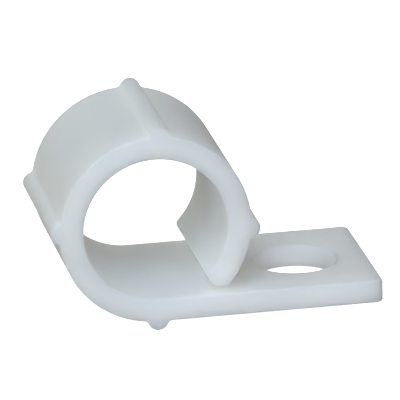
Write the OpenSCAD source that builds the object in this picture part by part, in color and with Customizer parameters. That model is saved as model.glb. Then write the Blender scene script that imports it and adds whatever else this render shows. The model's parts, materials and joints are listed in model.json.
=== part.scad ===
// Open cable clip, moulded in one piece: a strap that runs from a flat screw foot
// into a round open ring, with half-round ribs across the outside of the ring.
// Origin: centre of the screw hole on the underside of the foot. +X points to the
// foot's free end, +Y along the cable, +Z away from the mounting surface.

/* [Cable ring] */
// Inside diameter of the ring, the cable that it holds
ring_bore_d = 8; // [6:0.25:14]
// Thickness of the strap, in the ring and in the foot
strap_t = 1.3; // [1:0.05:1.8]
// Width of the strap, along the cable
strap_w = 9.5; // [7.5:0.25:16]
// Angle of the hook's end, below the level of the ring's centre
tip_angle = 48; // [35:1:55]
// Gap between the hook's end and the foot
mouth_gap = 0.45; // [0.25:0.05:0.8]
// Rounding of the hook's inner corner, where the cable slips in
tip_corner_r = 0.35; // [0.1:0.05:0.4]

/* [Screw foot] */
// Diameter of the screw hole
screw_hole_d = 4.6; // [3:0.1:5.5]
// Distance from the ring's centre to the screw hole's centre
ring_to_hole = 8.6; // [7.5:0.1:16]
// Distance from the screw hole's centre to the foot's free end
hole_to_end = 4; // [3.5:0.1:8]
// Corner radius at the foot's free end, seen from above
foot_corner_r = 0.4; // [0.3:0.05:1]

/* [Ribs] */
// Height of a rib above the outside of the strap
rib_h = 0.5; // [0.3:0.05:0.65]
// Radius of a rib's round crest
rib_r = 0.58; // [0.5:0.02:0.7]
// Radius of the hollow at a rib's root
rib_root_r = 0.3; // [0.2:0.05:0.5]
// Radius of the wide hollow above the rib beside the foot, where the hook flexes
hook_root_r = 1.1; // [0.3:0.05:1.3]
// Angle round the ring of the rib beside the foot
right_rib_angle = -4; // [-6:1:6]
// Angle round the ring of the rib on top
top_rib_angle = 86; // [80:1:100]
// Angle round the ring of the rib on the far side
left_rib_angle = 178; // [170:1:190]

/* [Edges] */
// Rounding of the long edges of the strap
edge_r = 0.15; // [0.05:0.01:0.18]
// Rounding of the ends of the ribs
rib_end_r = 0.2; // [0.19:0.01:0.3]

/* [Hidden] */

$fn = 48;
nylon_white = [0.80, 0.83, 0.84];

bore_r = ring_bore_d / 2;
outer_r = bore_r + strap_t;
screw_hole_r = screw_hole_d / 2;
// The strap leaves the ring at its lowest point, where ring and foot are tangent.
foot_angle = 270;
// How far a cut runs past the surface that it opens.
cut_clear = 1;
// A rib's crest circle is centred a little inside the strap.
rib_centre_r = outer_r + rib_h - rib_r;
// A rounding runs this far past the surfaces that it joins, so that it crosses both.
blend = 0.01;
// The hollows end just short of the rounded ends of the ribs.
root_short = 0.05;
root_w = strap_w - 2 * (rib_end_r + root_short);

// Angle of a triangle between its sides a and b, with side c opposite.
function corner_angle(a, b, c) = acos((a * a + b * b - c * c) / (2 * a * b));

// Distance of a root hollow's centre from the ring's axis, and from the rib's centre.
function hollow_r(root_r) = outer_r + root_r - blend;
function hollow_reach(root_r) = rib_r + root_r - blend;

// Slab from x = 0 to x = reach, with both corners of its far side rounded.
module rounded_slab(reach, height, corner_r = edge_r) {
    translate([0, -height / 2 + corner_r])
        square([reach, height - 2 * corner_r]);
    translate([0, -height / 2])
        square([reach - corner_r, height]);
    for (side = [-1, 1])
        translate([reach - corner_r, side * (height / 2 - corner_r)])
            circle(corner_r);
}

// Section of the strap in the ring: x is the distance from the ring's axis.
module ring_section() {
    translate([bore_r + strap_t / 2, 0])
        for (side = [0, 1])
            mirror([side, 0])
                rounded_slab(strap_t / 2, strap_w);
}

// Puts a shape that is drawn in the ring's plane upright, with the ring's axis along Y.
module at_ring() {
    translate([-ring_to_hole, 0, outer_r])
        rotate([90, 0, 0])
            children();
}

// Open ring, from the hook's end round to the foot.
module ring() {
    difference() {
        rotate_extrude(angle = foot_angle + tip_angle, start = -tip_angle)
            ring_section();
        tip_cut();
    }
}

// Round crest of a rib, with the rib's middle on the X axis.
module rib_crest() {
    translate([rib_centre_r, 0])
        rotate_extrude()
            rounded_slab(rib_r, strap_w, rib_end_r);
}

// Web that fills the corner beside a crest, hollowed with radius root_r round the point
// hollow_at. Seat is a point inside the strap, straight under the hollow's centre.
module root_web(root_r, hollow_at, seat) {
    linear_extrude(root_w, center = true)
        difference() {
            polygon([[rib_centre_r - rib_r / 2, 0], [rib_centre_r, 0], hollow_at, seat]);
            translate(hollow_at)
                circle(root_r);
        }
}

// Root of a rib on the ring, on its counter-clockwise side.
module ring_root(root_r) {
    turn = corner_angle(rib_centre_r, hollow_r(root_r), hollow_reach(root_r));
    along = [cos(turn), sin(turn)];
    root_web(root_r, hollow_r(root_r) * along, (outer_r - rib_r) * along);
}

// Root of the bottom rib on the flat foot.
module foot_root(root_r) {
    reach = sqrt(pow(hollow_reach(root_r), 2) - pow(hollow_r(root_r) - rib_centre_r, 2));
    root_web(root_r, [hollow_r(root_r), reach], [outer_r - rib_r, reach]);
}

// Half-round rib across the outside of the ring, with its own hollow on the counter-clockwise side.
module rib(angle, ahead_root_r = rib_root_r) {
    rotate(angle) {
        rib_crest();
        ring_root(ahead_root_r);
        mirror([0, 1])
            ring_root(rib_root_r);
    }
}

// Rib at the lowest point, between the ring and the foot.
module bottom_rib() {
    rotate(foot_angle) {
        rib_crest();
        foot_root(rib_root_r);
        mirror([0, 1])
            ring_root(rib_root_r);
    }
}

// What is cut from the hook's end: all below the mouth gap, and the sharp inner corner.
module tip_cut() {
    depth = tip_corner_r - blend;
    centre = [sqrt(pow(bore_r + depth, 2) - pow(depth, 2)), depth];
    linear_extrude(strap_w + 2 * cut_clear, center = true) {
        translate([cut_clear, -outer_r])
            square([outer_r, strap_t + mouth_gap]);
        rotate(-tip_angle)
            difference() {
                polygon([
                    centre,
                    [centre[0], -cut_clear],
                    [bore_r - cut_clear, -cut_clear],
                    [bore_r - cut_clear, 0],
                    centre * (1 - cut_clear / bore_r)
                ]);
                translate(centre)
                    circle(tip_corner_r);
            }
    }
}

// Flat part of the strap with rounded edges all round its free end.
module foot() {
    end_x = hole_to_end - foot_corner_r;
    side_y = strap_w / 2 - foot_corner_r;
    translate([-ring_to_hole, 0, strap_t / 2])
        rotate([0, 90, 0])
            linear_extrude(ring_to_hole + end_x)
                for (side = [-90, 90])
                    rotate(side)
                        rounded_slab(strap_w / 2, strap_t);
    translate([end_x, 0, strap_t / 2]) {
        rotate([90, 0, 0])
            linear_extrude(2 * side_y, center = true)
                rounded_slab(foot_corner_r, strap_t);
        for (side = [-1, 1])
            translate([0, side * side_y, 0])
                rotate_extrude(angle = side * 90)
                    rounded_slab(foot_corner_r, strap_t);
    }
}

// Plain screw hole with a softened upper rim.
module screw_hole() {
    translate([0, 0, -cut_clear])
        cylinder(h = strap_t + 2 * cut_clear, r = screw_hole_r);
    rotate_extrude()
        difference() {
            translate([0, strap_t - edge_r])
                square([screw_hole_r + edge_r, edge_r + cut_clear]);
            translate([screw_hole_r + edge_r, strap_t - edge_r])
                circle(edge_r);
        }
}

module clip() {
    color(nylon_white)
        difference() {
            union() {
                at_ring() {
                    ring();
                    rib(right_rib_angle, hook_root_r);
                    rib(top_rib_angle);
                    rib(left_rib_angle);
                    bottom_rib();
                }
                foot();
            }
            screw_hole();
        }
}

clip();
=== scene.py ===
"""Open cable clip, moulded in one piece from natural nylon, on a white studio floor."""

import json
import math

import bmesh
import bpy
from mathutils import Matrix, Vector


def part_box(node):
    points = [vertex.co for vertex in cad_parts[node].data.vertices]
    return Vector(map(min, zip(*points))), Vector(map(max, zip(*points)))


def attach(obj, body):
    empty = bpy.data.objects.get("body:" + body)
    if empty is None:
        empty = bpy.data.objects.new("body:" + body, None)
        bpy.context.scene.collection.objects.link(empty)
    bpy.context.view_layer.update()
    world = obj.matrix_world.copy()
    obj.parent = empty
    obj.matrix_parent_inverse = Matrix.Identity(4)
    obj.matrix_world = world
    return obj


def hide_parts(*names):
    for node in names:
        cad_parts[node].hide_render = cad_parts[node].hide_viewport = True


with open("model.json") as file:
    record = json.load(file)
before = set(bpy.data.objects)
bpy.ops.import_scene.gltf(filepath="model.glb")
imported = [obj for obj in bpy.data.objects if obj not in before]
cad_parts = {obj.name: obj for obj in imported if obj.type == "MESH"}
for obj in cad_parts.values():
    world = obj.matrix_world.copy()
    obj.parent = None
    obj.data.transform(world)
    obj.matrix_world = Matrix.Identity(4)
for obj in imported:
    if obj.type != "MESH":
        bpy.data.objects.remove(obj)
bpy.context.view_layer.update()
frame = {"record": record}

MM = 0.001
MICRON = 0.001 * MM
# Points that are closer than this count as one place.
NEAR = 0.1 * MICRON
UP = Vector((0.0, 0.0, 1.0))
CABLE = Vector((0.0, 1.0, 0.0))

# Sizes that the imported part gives.
clip_low, clip_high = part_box("clip")
clip_middle = (clip_low + clip_high) / 2
mounts = {mount["name"]: mount for mount in frame["record"]["mounts"]}
ring_centre = Vector(mounts["cable_ring"]["pos_m"])
bore_r = mounts["cable_ring"]["dims"]["r_mm"] * MM
hole_r = mounts["screw_hole"]["dims"]["r_mm"] * MM
outer_r = ring_centre.z
strap_t = outer_r - bore_r
strap_w = clip_high.y - clip_low.y
foot_end = clip_high.x
rib_h = -clip_low.z

# Sizes of the moulded details.
edge_r = 0.15 * MM
foot_corner_r = 0.4 * MM
tip_angle = math.radians(-48)
tip_corner_r = 0.35 * MM
mouth_gap = 0.45 * MM
rib_r = 0.58 * MM
rib_root_r = 0.3 * MM
hook_root_r = 1.1 * MM

# Where the strap turns up into the ring, and where its hook's end is trimmed level.
foot_angle = math.radians(270)
trim_drop = bore_r - mouth_gap
trim_angle = -math.asin(trim_drop / outer_r)

# Place round the ring of each rib, and the radius of the hollow on its counter-clockwise side.
ribs = [
    (math.radians(-4), hook_root_r),
    (math.radians(86), rib_root_r),
    (math.radians(178), rib_root_r),
    (foot_angle, rib_root_r),
]
rib_centre_r = outer_r + rib_h - rib_r

# Steps of the mesh round the foot's outline, and as many round the rim of the screw hole.
width_steps = 12
side_steps = 14
corner_steps = 6
end_steps = 12
rim_steps = width_steps + 2 * side_steps + 2 * corner_steps + end_steps

# Steps round the ring. Beside the bottom rib the foot has steps of about the same length.
ring_steps = 600
rib_zone_steps = 24
rib_zone = rib_zone_steps * outer_r * (foot_angle - trim_angle) / ring_steps

# The last step before the hook's trimmed corner is longer, so that there is room to round the corner.
trim_turn = 2 * edge_r / outer_r

# Steps of a rounding, and the least turn of an edge that is rounded.
round_steps = 5
tip_round_steps = 8
crease_angle = math.radians(40)

# Camera, as fitted to the photograph: the ring's centre is at this pixel.
image_side = 400
focal_pixels = 6177.5
camera_distance = 340.0 * MM
camera_azimuth = math.radians(-10.59)
camera_elevation = math.radians(18.83)
camera_roll = math.radians(-1.37)
ring_pixel = (140.6, 203.09)
sensor_width = 36.0

# Nearest and farthest distance that the camera shows.
view_start = 34.0 * MM
view_end = 34000.0 * MM

# Nylon: milky tones that drift in soft clouds, and a fine satin grain. Light spreads in it over about
# nylon_depth, red a little farther than blue.
nylon_ior = 1.53
nylon_depth = 3.5 * MM
nylon_depth_tint = (1.0, 0.95, 0.9)
nylon_tones = ((0.60, 0.65, 0.67, 1), (0.66, 0.69, 0.67, 1))
satin_roughness = 0.66
cloud_size = 2.8 * MM
cloud_height = 20 * MICRON
cloud_roughness = 0.1
grain_size = 0.1 * MM
grain_height = 2 * MICRON
grain_roughness = 0.06

# Floor of white paper, which glows so that it is as white as the backdrop.
floor_size = 600.0 * MM
paper_glow = (0.90, 0.95, 1.0, 1)
paper_tones = ((0.90, 0.90, 0.90, 1), (0.94, 0.94, 0.94, 1))
paper_roughness = 0.85
fibre_size = 0.8 * MM
fibre_roughness = 0.1

# Lamps, the faint light from all round, and the backdrop past the floor's edge.
lamp_size = 1000.0 * MM
lamp_distance = 1000.0 * MM
room_light = (0.20, 0.158, 0.116, 1)
backdrop_white = (1.0, 1.0, 1.0, 1)


def add_object(name, mesh_maker, material):
    """A new object at the origin, with the mesh that mesh_maker fills."""
    bm = bmesh.new()
    mesh_maker(bm)
    mesh = bpy.data.meshes.new(name)
    bm.to_mesh(mesh)
    bm.free()
    made = bpy.data.objects.new(name, mesh)
    made.data.materials.append(material)
    bpy.context.scene.collection.objects.link(made)
    return made


def foot_plate(bm, start_x):
    """Flat end of the strap round the screw hole, open at start_x, with sharp edges."""
    length = foot_end - start_x
    centre_x = (foot_end + start_x) / 2
    place = Matrix.Translation((centre_x, 0, 0)) @ Matrix.Diagonal((length, strap_w, 1, 1))
    bmesh.ops.create_grid(bm, x_segments=1, y_segments=1, size=0.5, matrix=place)
    corners = [v for v in bm.verts if v.co.x > centre_x]
    bmesh.ops.bevel(
        bm,
        geom=corners,
        offset=foot_corner_r,
        segments=corner_steps,
        profile=0.5,
        affect="VERTICES",
        material=-1,
    )
    bmesh.ops.delete(bm, geom=bm.faces[:], context="FACES_ONLY")
    long_edges = [e for e in bm.edges if e.calc_length() > 2 * foot_corner_r]
    for edge in long_edges:
        middle = (edge.verts[0].co + edge.verts[1].co) / 2
        steps = side_steps
        if abs(middle.y) < NEAR:
            steps = width_steps if middle.x < centre_x else end_steps
        bmesh.ops.subdivide_edges(bm, edges=[edge], cuts=steps - 1)
    bmesh.ops.create_circle(bm, segments=rim_steps, radius=hole_r)
    annulus = bmesh.ops.bridge_loops(bm, edges=bm.edges[:])["faces"]
    raised = bmesh.ops.extrude_face_region(bm, geom=annulus, use_keep_orig=True)["geom"]
    top = [item for item in raised if isinstance(item, bmesh.types.BMVert)]
    bmesh.ops.translate(bm, verts=top, vec=strap_t * UP)
    wall = [f for f in bm.faces if all(abs(v.co.x - start_x) < NEAR for v in f.verts)]
    bmesh.ops.delete(bm, geom=wall, context="FACES")


def open_end(bm):
    """Edges of the strap's open end."""
    return [e for e in bm.edges if e.is_boundary]


def sweep(bm, loop, steps, length=0.0, angle=0.0):
    """Carries the strap's open end on, straight towards the ring or round it, and returns its new end."""
    step = Vector((-length / steps, 0, 0))
    swept = bmesh.ops.spin(bm, geom=loop, cent=ring_centre, axis=CABLE, dvec=step, angle=angle, steps=steps)
    return [item for item in swept["geom_last"] if isinstance(item, bmesh.types.BMEdge)]


def ring_rib_radius(turn, root_r):
    """Distance of a rib's surface from the ring's axis, at this turn away from the rib's middle."""
    hollow_r = outer_r + root_r
    reach = rib_r + root_r
    hollow_turn = math.acos((rib_centre_r**2 + hollow_r**2 - reach**2) / (2 * rib_centre_r * hollow_r))
    hollow = hollow_r * Vector((math.cos(hollow_turn), math.sin(hollow_turn)))
    meeting = Vector((rib_centre_r, 0)).lerp(hollow, rib_r / reach)
    if turn < math.atan2(meeting.y, meeting.x):
        return rib_centre_r * math.cos(turn) + math.sqrt(rib_r**2 - (rib_centre_r * math.sin(turn)) ** 2)
    if turn < hollow_turn:
        away = hollow_turn - turn
        return hollow_r * math.cos(away) - math.sqrt(root_r**2 - (hollow_r * math.sin(away)) ** 2)
    return outer_r


def foot_rib_drop(distance):
    """Depth of the bottom rib under the flat foot, at this distance from the rib's middle."""
    sunk = rib_r - rib_h
    reach = math.sqrt((rib_r + rib_root_r) ** 2 - (rib_root_r + sunk) ** 2)
    if distance < reach * rib_r / (rib_r + rib_root_r):
        return math.sqrt(rib_r**2 - distance**2) - sunk
    if distance < reach:
        return rib_root_r - math.sqrt(rib_root_r**2 - (reach - distance) ** 2)
    return 0.0


def outside_radius(angle):
    """Distance of the outside of the ring from its axis, ribs included."""
    radius = outer_r
    for rib_angle, ahead_root_r in ribs:
        turn = (angle - rib_angle + math.pi) % math.tau - math.pi
        radius = max(radius, ring_rib_radius(abs(turn), ahead_root_r if turn > 0 else rib_root_r))
    return radius


def shape_ribs(bm):
    """Pushes the outside of the strap out into the ribs."""
    for vert in bm.verts:
        arm = vert.co - ring_centre
        arm.y = 0
        if arm.x > 0 and abs(vert.co.z) < NEAR:
            vert.co.z -= foot_rib_drop(arm.x)
        elif abs(arm.length - outer_r) < NEAR:
            vert.co += arm.normalized() * (outside_radius(math.atan2(arm.z, arm.x)) - outer_r)


def trim_hook(bm):
    """Levels the outer corner of the hook's open end, and closes the end."""
    trimmed_r = trim_drop / math.sin(-tip_angle)
    end_edges = open_end(bm)
    for vert in {v for e in end_edges for v in e.verts}:
        arm = vert.co - ring_centre
        arm.y = 0
        if arm.length > bore_r + strap_t / 2:
            vert.co += arm.normalized() * (trimmed_r - arm.length)
    across = [e for e in end_edges if abs(e.verts[0].co.y - e.verts[1].co.y) > NEAR]
    bmesh.ops.bridge_loops(bm, edges=across)


def round_off(bm, edges, radius, steps):
    """Rounds these edges of the clip."""
    bmesh.ops.bevel(
        bm,
        geom=edges,
        offset=radius,
        segments=steps,
        profile=0.5,
        affect="EDGES",
        clamp_overlap=False,
        material=-1,
    )


def is_inner_tip(vert):
    """Whether a point lies on the inner corner of the hook's end."""
    corner = ring_centre + bore_r * Vector((math.cos(tip_angle), 0, math.sin(tip_angle)))
    return abs(vert.co.x - corner.x) < NEAR and abs(vert.co.z - corner.z) < NEAR


def round_edges(bm):
    """Rounds the hook's inner corner, and then every other edge and crease of the clip."""
    bmesh.ops.recalc_face_normals(bm, faces=bm.faces[:])
    inner_tip = [e for e in bm.edges if all(is_inner_tip(v) for v in e.verts)]
    round_off(bm, inner_tip, tip_corner_r, tip_round_steps)
    sharp = [e for e in bm.edges if e.calc_face_angle() > crease_angle]
    round_off(bm, sharp, edge_r, round_steps)


def clip_mesh(bm):
    """The whole clip: foot, ring, ribs and hook, with all edges rounded."""
    start_x = -foot_end
    foot_plate(bm, start_x)
    loop = sweep(bm, open_end(bm), side_steps, length=start_x - ring_centre.x - rib_zone)
    loop = sweep(bm, loop, rib_zone_steps, length=rib_zone)
    loop = sweep(bm, loop, ring_steps, angle=foot_angle - trim_angle - trim_turn)
    loop = sweep(bm, loop, 1, angle=trim_turn)
    sweep(bm, loop, 1, angle=trim_angle - tip_angle)
    bmesh.ops.remove_doubles(bm, verts=bm.verts[:], dist=NEAR)
    shape_ribs(bm)
    trim_hook(bm)
    round_edges(bm)
    for face in bm.faces:
        face.smooth = True


def floor_mesh(bm):
    """Plain floor that meets the bottom rib and the free end of the foot."""
    lean = math.atan2(rib_h, foot_end - edge_r - ring_centre.x)
    bmesh.ops.create_grid(bm, x_segments=1, y_segments=1, size=floor_size / 2)
    place = Matrix.Translation((ring_centre.x, 0, -rib_h)) @ Matrix.Rotation(-lean, 4, CABLE)
    bmesh.ops.transform(bm, matrix=place, verts=bm.verts[:])


class Socket:
    """Output of a shader node: arithmetic on it adds Math nodes to the same tree."""

    # Numbers of the Mix node's sockets for colours, because other sockets there have the same names.
    MIX_FACTOR = 0
    MIX_LOW = 6
    MIX_HIGH = 7
    MIX_RESULT = 2

    def __init__(self, output):
        self.output = output
        self.tree = output.id_data

    @staticmethod
    def node(tree, kind, settings, sockets, out=0):
        """Output of a new node, with its settings made first and then its sockets set or linked."""
        made = tree.nodes.new(kind)
        for name, value in settings.items():
            setattr(made, name, value)
        for name, value in sockets.items():
            if isinstance(value, Socket):
                value.feed(made, name)
            else:
                made.inputs[name].default_value = value
        return Socket(made.outputs[out])

    def feed(self, taker, name):
        """Links this value to an input of another node."""
        self.tree.links.new(self.output, taker.inputs[name])

    def maths(self, operation, first, second):
        """Result of a Math node on two values."""
        return self.node(self.tree, "ShaderNodeMath", {"operation": operation}, {0: first, 1: second})

    def __add__(self, other):
        return self.maths("ADD", self, other)

    def __radd__(self, other):
        return self.maths("ADD", other, self)

    def __mul__(self, other):
        return self.maths("MULTIPLY", self, other)

    def __rmul__(self, other):
        return self.maths("MULTIPLY", other, self)

    def noise(self, size, detail):
        """Noise from 0 to 1 over this place, with features of about this size."""
        sockets = {"Vector": self, "Scale": 1 / size, "Detail": detail}
        return self.node(self.tree, "ShaderNodeTexNoise", {}, sockets)

    def mix(self, low, high):
        """Colour between two, by this value from 0 to 1."""
        sockets = {self.MIX_FACTOR: self, self.MIX_LOW: low, self.MIX_HIGH: high}
        return self.node(self.tree, "ShaderNodeMix", {"data_type": "RGBA"}, sockets, self.MIX_RESULT)

    def bump(self):
        """Normal of a surface with this relief, in metres."""
        sockets = {"Height": self, "Distance": 1.0, "Strength": 1.0}
        return self.node(self.tree, "ShaderNodeBump", {}, sockets)


def new_material(name, **constants):
    """A material, its shader with these values set, and the place on the surface that patterns read."""
    made = bpy.data.materials.new(name)
    made.use_nodes = True
    shader = made.node_tree.nodes["Principled BSDF"]
    for label, value in constants.items():
        shader.inputs[label.replace("_", " ")].default_value = value
    place = Socket.node(made.node_tree, "ShaderNodeTexCoord", {}, {}, "Object")
    return made, shader, place


def natural_nylon():
    """Milky undyed nylon with the satin skin of the mould."""
    made, shader, place = new_material(
        "natural_nylon",
        IOR=nylon_ior,
        Subsurface_Weight=1.0,
        Subsurface_Radius=nylon_depth_tint,
        Subsurface_Scale=nylon_depth,
    )
    shader.subsurface_method = "BURLEY"
    clouds = place.noise(cloud_size, detail=2)
    grain = place.noise(grain_size, detail=2)
    clouds.mix(*nylon_tones).feed(shader, "Base Color")
    roughness = satin_roughness + cloud_roughness * clouds + grain_roughness * grain
    roughness.feed(shader, "Roughness")
    relief = clouds * cloud_height + grain * grain_height
    relief.bump().feed(shader, "Normal")
    return made


def floor_paper():
    """Matt white paper under the clip."""
    made, shader, place = new_material("floor_paper", Emission_Color=paper_glow, Emission_Strength=1.0)
    fibres = place.noise(fibre_size, detail=3)
    fibres.mix(*paper_tones).feed(shader, "Base Color")
    roughness = paper_roughness + fibre_roughness * fibres
    roughness.feed(shader, "Roughness")
    return made


def direction(azimuth, elevation):
    """Way from the clip to a camera or lamp. Azimuth 0 is in front, and a right angle is the foot's side."""
    return Vector((
        math.sin(azimuth) * math.cos(elevation),
        -math.cos(azimuth) * math.cos(elevation),
        math.sin(elevation),
    ))


def studio_camera():
    """Camera at the photograph's viewing angle."""
    back = direction(camera_azimuth, camera_elevation)
    level = (-back).cross(UP).normalized()
    lift = level.cross(-back)
    right = math.cos(camera_roll) * level + math.sin(camera_roll) * lift
    up = math.cos(camera_roll) * lift - math.sin(camera_roll) * level
    per_pixel = camera_distance / focal_pixels
    aside = (ring_pixel[0] - image_side / 2) * per_pixel
    above = (image_side / 2 - ring_pixel[1]) * per_pixel
    place = ring_centre + camera_distance * back - aside * right - above * up
    data = bpy.data.cameras.new("camera")
    data.sensor_width = sensor_width
    data.lens = focal_pixels * sensor_width / image_side
    data.clip_start = view_start
    data.clip_end = view_end
    made = bpy.data.objects.new("camera", data)
    made.matrix_world = Matrix.Translation(place) @ Matrix((right, up, back)).transposed().to_4x4()
    bpy.context.scene.collection.objects.link(made)
    bpy.context.scene.camera = made


def studio_world():
    """Faint warm light from all round, and a plain white backdrop past the floor's edge."""
    world = bpy.data.worlds.new("studio")
    world.use_nodes = True
    seen = Socket.node(world.node_tree, "ShaderNodeLightPath", {}, {}, "Is Camera Ray")
    seen.mix(room_light, backdrop_white).feed(world.node_tree.nodes["Background"], "Color")
    bpy.context.scene.world = world


def soft_light(name, azimuth, elevation, watts, colour, sheen=True):
    """Large round lamp that looks at the clip, its angles in degrees. Without sheen it gives no gloss."""
    aim = direction(math.radians(azimuth), math.radians(elevation))
    data = bpy.data.lights.new(name, "AREA")
    data.shape = "DISK"
    data.size = lamp_size
    data.energy = watts
    data.color = colour
    made = bpy.data.objects.new(name, data)
    place = Matrix.Translation(clip_middle + lamp_distance * aim)
    made.matrix_world = place @ aim.to_track_quat("Z", "Y").to_matrix().to_4x4()
    made.visible_glossy = sheen
    bpy.context.scene.collection.objects.link(made)


clip = add_object("nylon_clip", clip_mesh, natural_nylon())
clip.modifiers.new("even_shading", "WEIGHTED_NORMAL")
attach(clip, "root")
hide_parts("clip")

# The floor is only seen: it neither lights nor shades the clip.
floor = add_object("floor", floor_mesh, floor_paper())
floor.visible_diffuse = False
floor.visible_glossy = False
floor.visible_shadow = False

studio_camera()
studio_world()
soft_light("window_in_front", azimuth=-10, elevation=40, watts=9.5, colour=(0.70, 0.825, 1.0))
soft_light("lamp_on_the_left", azimuth=-40, elevation=10, watts=4.0, colour=(0.96, 0.96, 1.0))
soft_light("lamp_beside_the_ring", azimuth=-100, elevation=30, watts=0.9, colour=(0.80, 1.0, 0.80))
soft_light("lamp_behind", azimuth=175, elevation=5, watts=6.0, colour=(0.97, 0.97, 1.0), sheen=False)
# This lamp stands for the light that a white floor throws back.
soft_light("light_off_the_floor", azimuth=0, elevation=-89, watts=1.5, colour=(0.90, 0.85, 1.0))
bpy.context.scene.view_settings.view_transform = "Standard"
